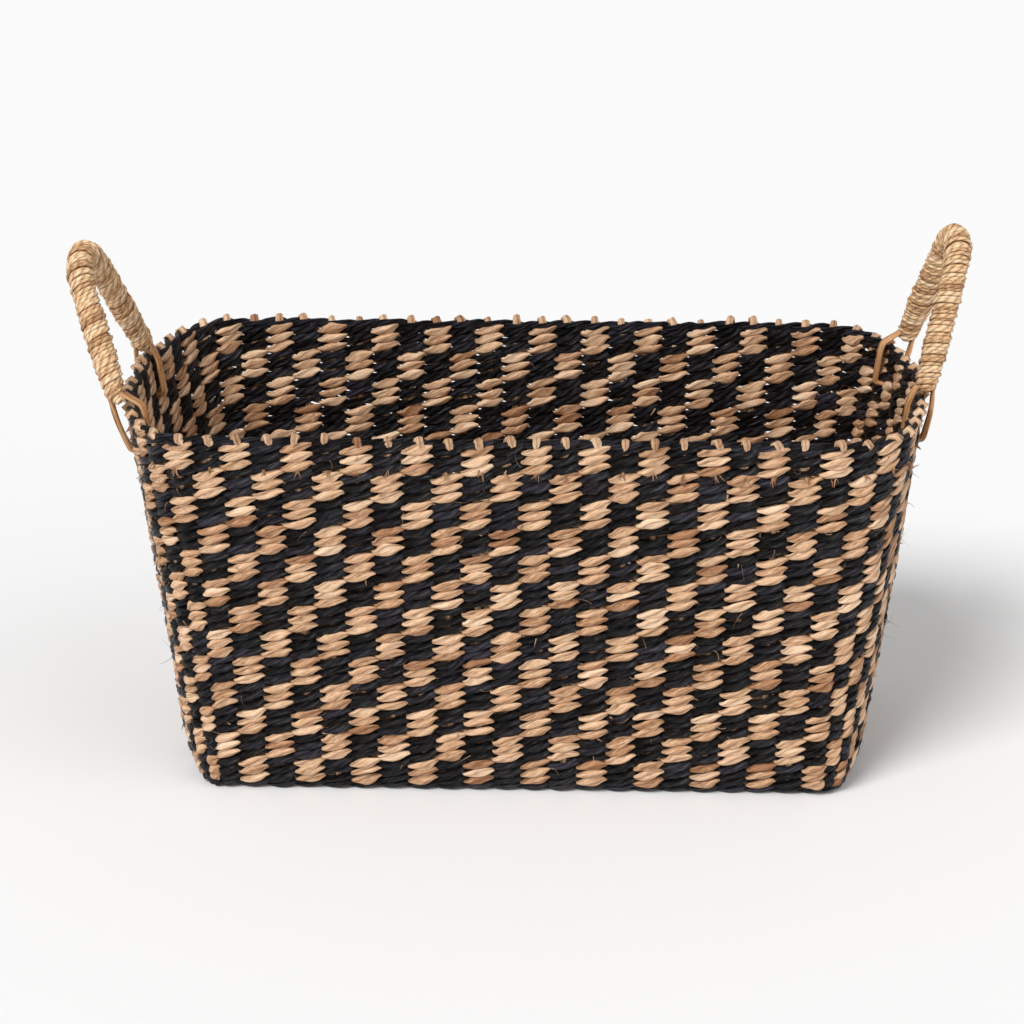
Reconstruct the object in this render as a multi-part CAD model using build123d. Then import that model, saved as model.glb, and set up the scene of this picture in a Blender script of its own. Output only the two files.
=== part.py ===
from build123d import *
import math
import os

# Two-tone seagrass storage basket, modelled in millimetres.
# +Z is up, the origin is the middle of the underside, X runs along the length and Y across the width.
# Every wall layer is an offset of one inner outline, so the walls lean out evenly all round.

# ---- driving dimensions of the basket ----
rim_length = 538.0  # between the bowed end walls, over the weave
rim_width = 270.0
height = 262.0  # to the top of the rim border
lean_out = 32.0  # how far the wall stands out at the rim, past its foot
rim_corner_radius = 54.0
end_bow_angle = 20.0  # half the angle of the arc of each bowed end wall
wall_thickness = 9.0
course_count = 13
rows_per_course = 3
row_height = 6.4
row_crown = 1.1  # how far each row swells past the groove between rows
border_thickness = 10.0
fit_gap = 0.3  # clearance between pieces that lie close together

# ---- stakes, the upright warp ----
stake_count = 76
stake_radius = 1.7
stake_foot = 1.8  # height of a stake's lower end
stake_knob_radius = 3.4

# ---- base mat ----
base_sheet = 2.6

# ---- cane lashings that tie the handles to the wall ----
cane_radius = 1.4
cane_pitch = 3.0
canes_per_lashing = 3
lashing_drop = 28.0  # from the rim down to where the canes pass through the wall
lashing_corner = 3.2
lashing_stand_off = 0.9

# ---- handles ----
pivot_rise = 13.0  # height of the tilt axis above the rim
handle_lean = 15.0  # outward lean at rest, in degrees
handle_height = 84.0  # from the tilt axis to the grip's centre line at its top
grip_bend_radius = 38.0
core_radius = 5.0
grip_radius = 8.0
collar_radius = 9.5
collar_length = 24.0
fork_rise = 3.0  # how far the fork's open sides reach above the tilt axis
core_start = 12.0  # above the tilt axis
front_foot_gap = -4  # feet stand in the gaps between stakes, counted from the middle of the end wall
rear_foot_gap = 2

# ---- values that follow from them ----
course_height = rows_per_course * row_height
foot_height = (height - course_count * course_height) / 2
rim_base = height - foot_height
slope = lean_out / height
slope_angle = math.degrees(math.atan(slope))
half_wall = wall_thickness / 2
rim_offset = rim_corner_radius - half_wall  # wall's mid-line past the inner outline, at the rim
foot_offset = rim_offset - lean_out
corner_y = rim_width / 2 - rim_corner_radius
bow_radius = corner_y / math.sin(math.radians(end_bow_angle))
bow_centre = rim_length / 2 - rim_corner_radius - bow_radius
corner_x = bow_centre + bow_radius * math.cos(math.radians(end_bow_angle))
corner_angle = 90.0 - end_bow_angle

straight_length = 2 * corner_x
corner_arc = rim_offset * math.radians(corner_angle)
end_arc = 2 * (bow_radius + rim_offset) * math.radians(end_bow_angle)
rim_run = 2 * straight_length + 4 * corner_arc + 2 * end_arc
stake_pitch = rim_run / stake_count

lashing_half_gap = border_thickness / 2 + lashing_stand_off + cane_radius
socket_radius = lashing_half_gap + cane_radius + fit_gap
lashing_width = (canes_per_lashing - 1) * cane_pitch + 2 * cane_radius


def mid_offset(z):
    """Distance of the wall's middle surface from the inner outline at height z."""
    return foot_offset + slope * z


def ring(section):
    """Sweep a closed section, drawn with X as offset and Y as height, round the outline."""

    def placed(plane):
        return plane * section

    front = Plane(origin=(-corner_x, -corner_y, 0), x_dir=(0, -1, 0), z_dir=(-1, 0, 0))
    back = Plane(origin=(corner_x, corner_y, 0), x_dir=(0, 1, 0), z_dir=(1, 0, 0))
    body = extrude(placed(front), straight_length, dir=(1, 0, 0))
    body += extrude(placed(back), straight_length, dir=(-1, 0, 0))
    turns = [
        (corner_x, -corner_y, -90.0, corner_angle, 0.0),
        (bow_centre, 0.0, -end_bow_angle, 2 * end_bow_angle, bow_radius),
        (corner_x, corner_y, end_bow_angle, corner_angle, 0.0),
        (-corner_x, corner_y, 90.0, corner_angle, 0.0),
        (-bow_centre, 0.0, 180.0 - end_bow_angle, 2 * end_bow_angle, bow_radius),
        (-corner_x, -corner_y, 180.0 + end_bow_angle, corner_angle, 0.0),
    ]
    for x, y, start, sweep_angle, radius in turns:
        out = Vector(math.cos(math.radians(start)), math.sin(math.radians(start)), 0)
        plane = Plane(origin=Vector(x, y, 0) + out * radius, x_dir=out, z_dir=out.cross(Vector(0, 0, 1)))
        body += revolve(placed(plane), Axis((x, y, 0), (0, 0, 1)), sweep_angle)
    return body


def outline(offset):
    """Filled outline of the basket at a distance from the inner outline."""
    end_reach = bow_centre + bow_radius + offset
    bow = math.radians(end_bow_angle)
    join_x = corner_x + offset * math.cos(bow)
    join_y = corner_y + offset * math.sin(bow)
    half = math.radians(end_bow_angle + corner_angle / 2)
    mid_x = corner_x + offset * math.cos(half)
    mid_y = corner_y + offset * math.sin(half)
    side_y = corner_y + offset
    edges = []
    for sx in (1, -1):
        edges.append(ThreePointArc((sx * join_x, -join_y), (sx * end_reach, 0), (sx * join_x, join_y)))
        for sy in (1, -1):
            start = (sx * join_x, sy * join_y)
            edges.append(ThreePointArc(start, (sx * mid_x, sy * mid_y), (sx * corner_x, sy * side_y)))
    for sy in (1, -1):
        edges.append(Line((-corner_x, sy * side_y), (corner_x, sy * side_y)))
    return make_face(edges)


def wall_station(run):
    """Point on the inner outline and outward direction at a run along the rim, from the front's middle."""
    half_straight = straight_length / 2
    legs = [half_straight, corner_arc, end_arc, corner_arc, straight_length, corner_arc, end_arc, corner_arc]
    starts = [-90.0, -90.0, -end_bow_angle, end_bow_angle, 90.0, 90.0, 180.0 - end_bow_angle, 180.0 + end_bow_angle]
    leg = 0
    while leg < len(legs) and run > legs[leg]:
        run -= legs[leg]
        leg += 1
    if leg == 0:
        return Vector(run, -corner_y, 0), Vector(0, -1, 0)
    if leg == 4:
        return Vector(corner_x - run, corner_y, 0), Vector(0, 1, 0)
    if leg == len(legs):
        return Vector(run - half_straight, -corner_y, 0), Vector(0, -1, 0)
    is_end = leg in (2, 6)
    radius = rim_offset + (bow_radius if is_end else 0.0)
    angle = math.radians(starts[leg]) + run / radius
    out = Vector(math.cos(angle), math.sin(angle), 0)
    if is_end:
        centre = Vector(bow_centre if leg == 2 else -bow_centre, 0, 0)
        return centre + out * bow_radius, out
    side_x = 1 if leg in (1, 3) else -1
    side_y = -1 if leg in (1, 7) else 1
    return Vector(side_x * corner_x, side_y * corner_y, 0), out


def on_wall(station, z):
    """Point on the wall's middle surface at height z."""
    point, out = station
    return point + out * mid_offset(z) + Vector(0, 0, z)


def course_section(base):
    """Three swelling rows, outside and inside, on the leaning wall."""
    groove = half_wall - row_crown
    edges = []
    for row in range(rows_per_course):
        low = base + row * row_height
        high = low + row_height
        middle = (low + high) / 2
        for side in (1, -1):
            start = (mid_offset(low) + side * groove, low)
            crown = (mid_offset(middle) + side * half_wall, middle)
            end = (mid_offset(high) + side * groove, high)
            edges.append(ThreePointArc(start, crown, end))
    for z in (base, base + course_height):
        edges.append(Line((mid_offset(z) - groove, z), (mid_offset(z) + groove, z)))
    return make_face(edges)


def border_section(low, high, rounding, round_top):
    """Border row, square where it meets the wall and rounded on its free edge."""
    half = border_thickness / 2
    points = [(mid_offset(z) + side * half, z) for z, side in ((low, -1), (low, 1), (high, 1), (high, -1))]
    face = make_face(Polyline(*points, close=True))
    free_z = high if round_top else low
    free = [vertex for vertex in face.vertices() if abs(vertex.Y - free_z) < fit_gap]
    return fillet(free, rounding)


def stake_rod(station, radius, bottom, top):
    """Straight rod that follows the wall's middle surface."""
    start = on_wall(station, bottom)
    end = on_wall(station, top)
    along = end - start
    plane = Plane(origin=start, z_dir=along)
    return extrude(plane * Circle(radius), along.length)


def stake(station):
    """Upright stake whose upper end is turned down into a knob on the rim."""
    neck = height + fit_gap
    rod = stake_rod(station, stake_radius, stake_foot, neck)
    seat = on_wall(station, neck)
    dome = Sphere(stake_knob_radius) & Pos(0, 0, stake_knob_radius / 2) * Box(
        2 * stake_knob_radius, 2 * stake_knob_radius, stake_knob_radius
    )
    return rod + Pos(seat) * dome


def foot_frame(gap_index):
    """Wall station of a handle foot on the right-hand end wall, between two stakes."""
    run = rim_run / 4 + gap_index * stake_pitch
    return wall_station(run)


def handle_frame():
    """Tilt axis of the right-hand handle: its middle, its direction and its outward direction."""
    lower = on_wall(foot_frame(-rear_foot_gap), height + pivot_rise)
    upper = on_wall(foot_frame(-front_foot_gap), height + pivot_rise)
    along = (upper - lower).normalized()
    middle = (upper + lower) * 0.5
    out = along.cross(Vector(0, 0, 1))
    return middle, along, out, (upper - lower).length / 2


def lashing_plane(foot_y):
    """Plane through a handle foot: X is outward, Y is up the wall, and Z is along the tilt axis."""
    middle, along, out, _ = handle_frame()
    tilt = math.radians(slope_angle)
    outward = out * math.cos(tilt) - Vector(0, 0, math.sin(tilt))
    return Plane(origin=middle + along * foot_y, x_dir=outward, z_dir=-along)


def cane_loop(plane):
    """One closed cane: over the tilt axis, down both faces of the wall and through it."""
    gap = lashing_half_gap
    drop = (pivot_rise + lashing_drop) / math.cos(math.radians(slope_angle))
    turn = lashing_corner
    diagonal = turn * (1 - math.sqrt(0.5))
    path = [
        ThreePointArc((gap, 0), (0, gap), (-gap, 0)),
        Line((-gap, 0), (-gap, turn - drop)),
        ThreePointArc((-gap, turn - drop), (diagonal - gap, diagonal - drop), (turn - gap, -drop)),
        Line((turn - gap, -drop), (gap - turn, -drop)),
        ThreePointArc((gap - turn, -drop), (gap - diagonal, diagonal - drop), (gap, turn - drop)),
        Line((gap, turn - drop), (gap, 0)),
    ]
    loop = None
    for edge in path:
        local = plane * edge
        section = Plane(origin=local @ 0, z_dir=local % 0) * Circle(cane_radius)
        piece = sweep(section, path=local)
        loop = piece if loop is None else loop + piece
    return loop


def lashing(foot_y):
    """Cane loops side by side at one handle foot."""
    canes = []
    for index in range(canes_per_lashing):
        shift = (index - (canes_per_lashing - 1) / 2) * cane_pitch
        canes.append(cane_loop(lashing_plane(foot_y + shift)))
    return canes


def lashing_hole(foot_y):
    """Slot through the wall for the canes of one foot."""
    drop = (pivot_rise + lashing_drop) / math.cos(math.radians(slope_angle))
    slot_height = 2 * (cane_radius + fit_gap)
    slot_width = lashing_width + 2 * fit_gap
    return lashing_plane(foot_y) * Pos(0, -drop, 0) * Box(4 * wall_thickness, slot_height, slot_width)


def leaned(shape):
    """Put a handle piece, drawn upright with its axis along Y, onto the right-hand tilt axis."""
    middle, along, out, _ = handle_frame()
    tilt = math.radians(handle_lean)
    up = Vector(0, 0, math.cos(tilt)) + out * math.sin(tilt)
    return Plane(origin=middle, x_dir=along.cross(up), z_dir=up) * shape


def grip_path(foot_reach, start):
    """Half outline of the handle's centre line, from one leg to the other, in the YZ plane."""
    centre_z = handle_height - grip_bend_radius
    reach = math.hypot(foot_reach, centre_z)
    turn = math.acos(grip_bend_radius / reach) - math.atan2(centre_z, foot_reach)
    touch_y = grip_bend_radius * math.cos(turn)
    touch_z = centre_z + grip_bend_radius * math.sin(turn)
    share = start / math.hypot(foot_reach - touch_y, touch_z)
    low_y = foot_reach + (touch_y - foot_reach) * share
    low_z = touch_z * share
    return [
        Line((0, low_y, low_z), (0, touch_y, touch_z)),
        ThreePointArc((0, touch_y, touch_z), (0, 0, handle_height), (0, -touch_y, touch_z)),
        Line((0, -touch_y, touch_z), (0, -low_y, low_z)),
    ]


def grip_tube(path, outer, inner):
    """Round rod or tube along the handle's centre line."""
    tube = None
    for edge in path:
        face = Circle(outer)
        if inner:
            face = face - Circle(inner)
        piece = sweep(Plane(origin=edge @ 0, z_dir=edge % 0) * face, path=edge)
        tube = piece if tube is None else tube + piece
    return tube


def collar(foot_reach, side):
    """Bound end of a handle leg: it forks over the lashing and holds the core above it."""
    leg = grip_path(foot_reach, 0)[0]
    start = leg @ 0
    profile = make_face(
        [
            ThreePointArc(
                (0, -collar_radius),
                (collar_radius * math.sqrt(0.5), -collar_radius * math.sqrt(0.5)),
                (collar_radius, 0),
            ),
            Line((collar_radius, 0), (collar_radius, collar_length)),
            Line((collar_radius, collar_length), (0, collar_length)),
            Line((0, collar_length), (0, -collar_radius)),
        ]
    )
    plane = Plane(origin=start, x_dir=(1, 0, 0), z_dir=leg % 0)
    body = plane * revolve(Plane.XZ * profile, Axis.Z)
    body -= plane * Pos(0, 0, core_start) * extrude(Circle(core_radius + fit_gap / 3), collar_length)
    fork = lashing_width + 2 * fit_gap
    body -= Pos(start) * Rot(90, 0, 0) * Cylinder(socket_radius, fork)
    body -= Pos(start) * Pos(0, 0, fork_rise - collar_radius) * Box(4 * collar_radius, fork, 2 * collar_radius)
    return body if side > 0 else mirror(body, about=Plane.XZ)


def handle_core(foot_reach):
    """Bent cane rod inside the handle."""
    return leaned(grip_tube(grip_path(foot_reach, core_start + fit_gap), core_radius, 0))


def handle_wrap(foot_reach):
    """Cord winding round the core, from collar to collar."""
    start = collar_length + fit_gap
    return leaned(grip_tube(grip_path(foot_reach, start), grip_radius, core_radius + fit_gap / 3))


def save(node, shapes):
    """Write one node, as a compound when it holds several pieces."""
    solids = []
    for shape in shapes:
        solids.extend(shape.solids())
    shape = solids[0] if len(solids) == 1 else Compound(children=solids)
    shape.label = node
    export_step(shape, f"parts/{node}.step")


def save_stakes(stations):
    """Stakes by wall, each stake a solid of its own."""
    walls = {"front": [], "right": [], "back": [], "left": []}
    for station in stations:
        out = station[1]
        if abs(out.X) > abs(out.Y):
            wall = "right" if out.X > 0 else "left"
        else:
            wall = "back" if out.Y > 0 else "front"
        walls[wall].append(stake(station))
    for wall, stakes in walls.items():
        save(f"stakes_{wall}", stakes)


def save_base(stations):
    """Two woven sheets of the base with the cross stakes between them."""
    reach = foot_offset - half_wall - fit_gap
    rod_middle = base_sheet + fit_gap + stake_radius
    sheet = extrude(outline(reach), base_sheet)
    save("base_weave_lower", [sheet])
    save("base_weave_upper", [Pos(0, 0, 2 * rod_middle - base_sheet) * sheet])
    rods = []
    for point, out in stations:
        if out.Y < -0.99 and abs(point.X) < corner_x:
            length = 2 * (corner_y + reach - fit_gap)
            rods.append(Pos(point.X, 0, rod_middle) * Rot(90, 0, 0) * Cylinder(stake_radius, length))
    save("base_stakes", rods)


def save_wall(stations, slots):
    """Foot border, woven courses and rim border, each bored for the stakes."""
    bores = [stake_rod(station, stake_radius + fit_gap, stake_foot - fit_gap, height + 1) for station in stations]
    foot = ring(border_section(0, foot_height, 3.0, False))
    save("foot_border", [foot - bores])
    slotted_z = height - lashing_drop
    for index in range(course_count):
        base = foot_height + index * course_height
        course = ring(course_section(base)) - bores
        if base < slotted_z < base + course_height:
            course -= slots
        save(f"weft_course_{index + 1:02d}", [course])
    rim = ring(border_section(rim_base, height, 2.4, True))
    save("rim_border", [rim - bores])


def turned(shape):
    """The same piece on the left-hand end: half a turn about the upright axis."""
    return Rot(0, 0, 180) * shape


def save_handles():
    """Both handles, their collars and the cane lashings that hold them."""
    foot_reach = handle_frame()[3]
    for name, shape in (("core", handle_core(foot_reach)), ("grip_wrap", handle_wrap(foot_reach))):
        save(f"right_handle_{name}", [shape])
        save(f"left_handle_{name}", [turned(shape)])
    for side, place, opposite in ((-1, "front", "rear"), (1, "rear", "front")):
        foot_collar = leaned(collar(foot_reach, side))
        save(f"right_handle_{place}_collar", [foot_collar])
        save(f"left_handle_{opposite}_collar", [turned(foot_collar)])
        canes = lashing(side * foot_reach)
        save(f"right_{place}_lashing", canes)
        save(f"left_{opposite}_lashing", [turned(cane) for cane in canes])


def main():
    os.makedirs("parts", exist_ok=True)
    stations = [wall_station((index + 0.5) * stake_pitch) for index in range(stake_count)]
    foot_reach = handle_frame()[3]
    slots = []
    for foot_y in (-foot_reach, foot_reach):
        slots.append(lashing_hole(foot_y))
        slots.append(turned(lashing_hole(foot_y)))
    save_base(stations)
    save_wall(stations, slots)
    save_stakes(stations)
    save_handles()


main()
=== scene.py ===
import bpy
import math
import numpy as np
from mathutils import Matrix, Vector


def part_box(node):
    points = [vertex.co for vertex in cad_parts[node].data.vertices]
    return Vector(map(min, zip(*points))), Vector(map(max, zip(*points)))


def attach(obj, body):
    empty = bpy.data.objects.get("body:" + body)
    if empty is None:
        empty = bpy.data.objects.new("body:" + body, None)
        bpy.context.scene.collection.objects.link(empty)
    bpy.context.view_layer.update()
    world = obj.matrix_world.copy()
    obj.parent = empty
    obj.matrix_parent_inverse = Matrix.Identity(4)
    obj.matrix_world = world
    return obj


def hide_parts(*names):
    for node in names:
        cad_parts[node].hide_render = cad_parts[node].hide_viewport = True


# Looks of the seagrass storage basket, in metres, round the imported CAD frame.
# The weave is laid out along the same outlines as the CAD wall: an inner outline and an offset that
# grows with height. "run" is the distance along the rim's mid-line, from the front's middle.

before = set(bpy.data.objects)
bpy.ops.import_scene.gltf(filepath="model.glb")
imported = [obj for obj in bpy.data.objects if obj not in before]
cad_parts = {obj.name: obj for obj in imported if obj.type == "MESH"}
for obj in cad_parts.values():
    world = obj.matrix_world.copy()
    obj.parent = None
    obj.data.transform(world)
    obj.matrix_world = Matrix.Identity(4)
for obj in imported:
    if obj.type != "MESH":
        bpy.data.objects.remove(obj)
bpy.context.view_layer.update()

# ---- sizes read from the frame ----
RIM_LOW, RIM_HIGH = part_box("rim_border")
COURSES = sorted(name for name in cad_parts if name.startswith("weft_course_"))
HEIGHT = RIM_HIGH.z
FOOT_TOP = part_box("foot_border")[1].z
RIM_BASE = RIM_LOW.z

# ---- sizes of the weave ----
BORDER_HALF = 0.005
WALL_HALF = 0.0045
LEAN_OUT = 0.032
CORNER_RADIUS = 0.054
BOW_ANGLE = math.radians(20)  # how far each end wall turns, either way from its middle
FOOT_TUCK = 0.006  # how far the lowest rows curl in under the wall
FOOT_TUCK_HEIGHT = 0.024
ROWS_PER_COURSE = 3
STAKES = 76
STITCH_STEPS = 12
STRAND_SIDES = 12
STRAND_DEPTH = 0.0029  # from the stake's middle to the middle of a strand lying over it
STRAND_THICK = 0.00155
GAP_SWELL = 0.2  # how much thicker a strand is in a gap than over a stake
UV_PER_METRE = 100

# ---- the kinds of strand ----
# "tall" and "tall_in_gap" are half heights over a stake and between stakes. A lower "stay" keeps the
# strand out longer before it turns in, a higher "taper" narrows it more sharply towards the gaps, and
# "rise" is half the height that it climbs from one gap to the next.
NATURAL_STRAND = {
    "tall": 0.0037, "tall_in_gap": 0.0011, "stay": 0.34, "taper": 1.10, "rise": 0.0023,
    "lobes": 3, "lobe": 0.15,
}
BLACK_STRAND = {
    "tall": 0.0030, "tall_in_gap": 0.0028, "stay": 0.95, "taper": 0.75, "rise": 0.0023,
    "lobes": 4, "lobe": 0.18,
}
BORDER_STRAND = {"stay": 0.95, "taper": 0.75, "rise": 0.0012, "lobes": 4, "lobe": 0.13}
BORDER_GAP_SHARE = 0.8  # a border strand's height in a gap, as a share of that over a stake
RIM_STRAND_TALL = 0.0021
FOOT_STRAND_TALL = 0.0025
RIM_ROW_BELOW_TOP = 0.0017
FOOT_ROW_LIFT = 0.0014

# ---- how much the hand's work varies ----
WALL_WAVES = 9
WALL_WAVE_RUN = 0.0012
WALL_WAVE = 0.0011
WAVE_FADE = 0.03  # the wall's unevenness fades in over this height above the foot
WAVE_TOP = 0.006
STITCH_TALL_SPREAD = 0.15
STITCH_PUSH_SPREAD = 0.00035
STITCH_LIFT_SPREAD = 0.00055
STITCH_TILT_SPREAD = 0.38
STITCH_SLIDE_SPREAD = 0.0009
STITCH_TONE_SPREAD = 0.17
ROW_TONE_SPREAD = 0.08

# ---- the outline, as the CAD has it ----
SLOPE = LEAN_OUT / HEIGHT
SLOPE_ANGLE = math.atan(SLOPE)
OUTER_X = RIM_HIGH.x - (BORDER_HALF - WALL_HALF)
OUTER_Y = RIM_HIGH.y - (BORDER_HALF - WALL_HALF)
RIM_OFFSET = CORNER_RADIUS - WALL_HALF
FOOT_OFFSET = RIM_OFFSET - LEAN_OUT
CORNER_Y = OUTER_Y - CORNER_RADIUS
BOW_RADIUS = CORNER_Y / math.sin(BOW_ANGLE)
BOW_CENTRE = OUTER_X - CORNER_RADIUS - BOW_RADIUS
CORNER_X = BOW_CENTRE + BOW_RADIUS * math.cos(BOW_ANGLE)
CORNER_ANGLE = math.pi / 2 - BOW_ANGLE
CORNER_ARC = RIM_OFFSET * CORNER_ANGLE
END_ARC = 2 * (BOW_RADIUS + RIM_OFFSET) * BOW_ANGLE
RIM_RUN = 4 * CORNER_X + 4 * CORNER_ARC + 2 * END_ARC
PITCH = RIM_RUN / STAKES
ROWS = ROWS_PER_COURSE * len(COURSES)
WEAVE_TOP = HEIGHT - 0.0022  # where the courses end and the border row begins
ROW = (WEAVE_TOP - FOOT_TOP) / ROWS

# ---- sizes of the stakes, loose fibres and base ----
STAKE_FOOT = 0.0025
STAKE_WIDE = 0.0021
STAKE_THICK = 0.0012
KNOB_WIDE = 0.0036
KNOB_THICK = 0.0027
BASE_STRAND_THICK = 0.0013
BASE_RISE = 0.0016
BASE_MARGIN = 0.004  # from the ends of the base strands to the wall's middle
BASE_STAKE_MARGIN = 0.006
BASE_STEPS = 8  # points of a base strand to each stake pitch
BASE_STAKE_POINTS = 40
STAKE_POINTS = 90
KNOB_START = 0.005  # height over which a stake widens to its knob
FIBRE_POINTS = 7
FIBRE_ROOT = 0.0040  # depth at which stray fibres leave the weave
FIBRE_LOWEST = 0.016
THICK_FIBRE_SHARE = 0.25
TUFT_ROOT = 0.0030
TUFT_MISSING_SHARE = 0.35  # of the even stakes

# ---- sizes of the handles ----
PIVOT_RISE = 0.013
LOW_FOOT_GAP = -2  # feet stand in the gaps between stakes, counted from the middle of the end wall
HIGH_FOOT_GAP = 4
HANDLE_LEAN = {1: math.radians(15), -1: math.radians(20)}  # the left-hand one leans out more
HANDLE_HEIGHT = {1: 0.084, -1: 0.080}
GRIP_BEND = 0.034
GRIP_RADIUS = 0.0084
FOOT_RADIUS = 0.0070
FOOT_TAPER = 0.026
FOOT_TAIL = 0.0078
FOOT_SHIFTS = (0.0025, 0.0100)  # how far the canes let each foot lean out past the wall's middle
CORDS = 4
CORD_PITCH = 0.0025
CORD_THICK = 0.0010
CORD_WIDE = 0.00138
CORD_LOFT = (-0.00030, 0.00070, 0.00010, 0.00045)
CORD_STEPS = 24  # points of a cord to each turn
CORE_STEP = 6  # the core has one ring to so many points of a cord
LASHING_CANES = 5
CANE_PITCH = 0.0016
CANE_GATHER = 0.6  # how much of their spread the canes lose where they pass through the wall
CANE_RADIUS = 0.00135
LASHING_GAP_AT_AXIS = 0.0040
LASHING_DROP = 0.028
LASHING_CORNER = 0.0032
LASHING_GAP = 0.0063
LASHING_GAP_STEP = 0.0014  # every second cane lies this much further out
LASHING_BULGE = 0.0016
CANE_POINTS = 90


# ---------------------------------------------------------------- outline and wall

def outline_point(run):
    """Points of the inner outline and outward directions, as (n, 2) arrays."""
    run = np.mod(np.asarray(run, float), RIM_RUN)
    point = np.zeros((len(run), 2))
    out = np.zeros((len(run), 2))
    start = 0.0
    turn = math.pi / 2
    legs = [
        ("line", CORNER_X, (0.0, -CORNER_Y), (1, 0), (0, -1)),
        ("arc", CORNER_ARC, (CORNER_X, -CORNER_Y), 0.0, -turn),
        ("arc", END_ARC, (BOW_CENTRE, 0.0), BOW_RADIUS, -BOW_ANGLE),
        ("arc", CORNER_ARC, (CORNER_X, CORNER_Y), 0.0, BOW_ANGLE),
        ("line", 2 * CORNER_X, (CORNER_X, CORNER_Y), (-1, 0), (0, 1)),
        ("arc", CORNER_ARC, (-CORNER_X, CORNER_Y), 0.0, turn),
        ("arc", END_ARC, (-BOW_CENTRE, 0.0), BOW_RADIUS, math.pi - BOW_ANGLE),
        ("arc", CORNER_ARC, (-CORNER_X, -CORNER_Y), 0.0, math.pi + BOW_ANGLE),
        ("line", CORNER_X, (-CORNER_X, -CORNER_Y), (1, 0), (0, -1)),
    ]
    for kind, length, origin, shape, facing in legs:
        here = (run >= start - 1e-9) & (run <= start + length + 1e-9)
        along = run[here] - start
        if kind == "line":
            point[here] = np.array(origin) + along[:, None] * np.array(shape)
            out[here] = facing
        else:
            angle = facing + along / (shape + RIM_OFFSET)
            out[here] = np.stack([np.cos(angle), np.sin(angle)], 1)
            point[here] = np.array(origin) + out[here] * shape
        start += length
    return point, out


def mid_offset(z):
    """Distance of the wall's middle surface from the inner outline."""
    low = np.clip(1 - np.asarray(z) / FOOT_TUCK_HEIGHT, 0, 1)
    return FOOT_OFFSET + SLOPE * z - FOOT_TUCK * low**2


def waves(run, z, seed):
    """Slow, seeded unevenness over the wall, between about -1 and 1, closed round the rim."""
    rng = np.random.default_rng(seed)
    total = np.zeros(np.broadcast(run, z).shape)
    for _ in range(WALL_WAVES):
        turns = rng.integers(2, 26)
        tall = rng.uniform(8, 60)
        phase = rng.uniform(0, 2 * math.pi, 2)
        around = 2 * math.pi * turns * run / RIM_RUN
        total += np.sin(around + phase[0]) * np.cos(tall * z + phase[1])
    return total / math.sqrt(WALL_WAVES)


def wall(run, depth, z):
    """Points at a run, a depth in front of the middle surface and a height, with the wall's slow
    unevenness added."""
    run = np.asarray(run, float)
    depth = np.asarray(depth, float)
    z = np.asarray(z, float)
    free = np.clip(z / WAVE_FADE, 0, 1)
    near_top = np.clip((HEIGHT + WAVE_TOP - z) / WAVE_FADE, 0.5, 1)
    run_here = run + WALL_WAVE_RUN * free * waves(run, z, 3)
    depth_here = depth + WALL_WAVE * free * waves(run, z, 4)
    z_here = z + WALL_WAVE * free * waves(run, z, 5) * near_top
    point, out = outline_point(run_here)
    offset = mid_offset(z) + depth_here
    flat = point + out * offset[:, None]
    return np.column_stack([flat, z_here])


def outward(run):
    """Outward directions of the leaning wall."""
    _, out = outline_point(run)
    flat = out * math.cos(SLOPE_ANGLE)
    return np.column_stack([flat, np.full(len(flat), -math.sin(SLOPE_ANGLE))])


def wall_directions(run):
    """Level directions along the wall and out of it, at one run."""
    _, out = outline_point([run])
    x, y = out[0]
    return np.array([-y, x, 0.0]), np.array([x, y, 0.0])


# ---------------------------------------------------------------- mesh helpers

def make_mesh(name, points, quads, uv, values, material):
    """Smooth quad mesh with a strand UV map and per-point values for its material."""
    mesh = bpy.data.meshes.new(name)
    quads = np.asarray(quads, np.int32)
    mesh.vertices.add(len(points))
    mesh.vertices.foreach_set("co", np.asarray(points, np.float32).ravel())
    mesh.loops.add(quads.size)
    mesh.loops.foreach_set("vertex_index", quads.ravel())
    mesh.polygons.add(len(quads))
    mesh.polygons.foreach_set("loop_start", np.arange(0, quads.size, 4, dtype=np.int32))
    mesh.polygons.foreach_set("use_smooth", np.ones(len(quads), bool))
    mesh.update(calc_edges=True)
    layer = mesh.uv_layers.new(name="strand")
    layer.data.foreach_set("uv", np.asarray(uv, np.float32).ravel())
    for key, value in values.items():
        attribute = mesh.attributes.new(key, "FLOAT", "POINT")
        attribute.data.foreach_set("value", np.asarray(value, np.float32))
    mesh.materials.append(material)
    piece = bpy.data.objects.new(name, mesh)
    bpy.context.scene.collection.objects.link(piece)
    return piece


class Bundle:
    """Gathers many strands into the arrays of one mesh."""

    def __init__(self):
        self.points = []
        self.quads = []
        self.uv = []
        self.tone = []
        self.count = 0

    def add(self, points, quads, uv, tone):
        self.points.append(points)
        self.quads.append(quads + self.count)
        self.uv.append(uv)
        self.tone.append(tone)
        self.count += len(points)

    def build(self, name, material):
        return make_mesh(
            name,
            np.concatenate(self.points),
            np.concatenate(self.quads),
            np.concatenate(self.uv),
            {"tone": np.concatenate(self.tone)},
            material,
        )


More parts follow.
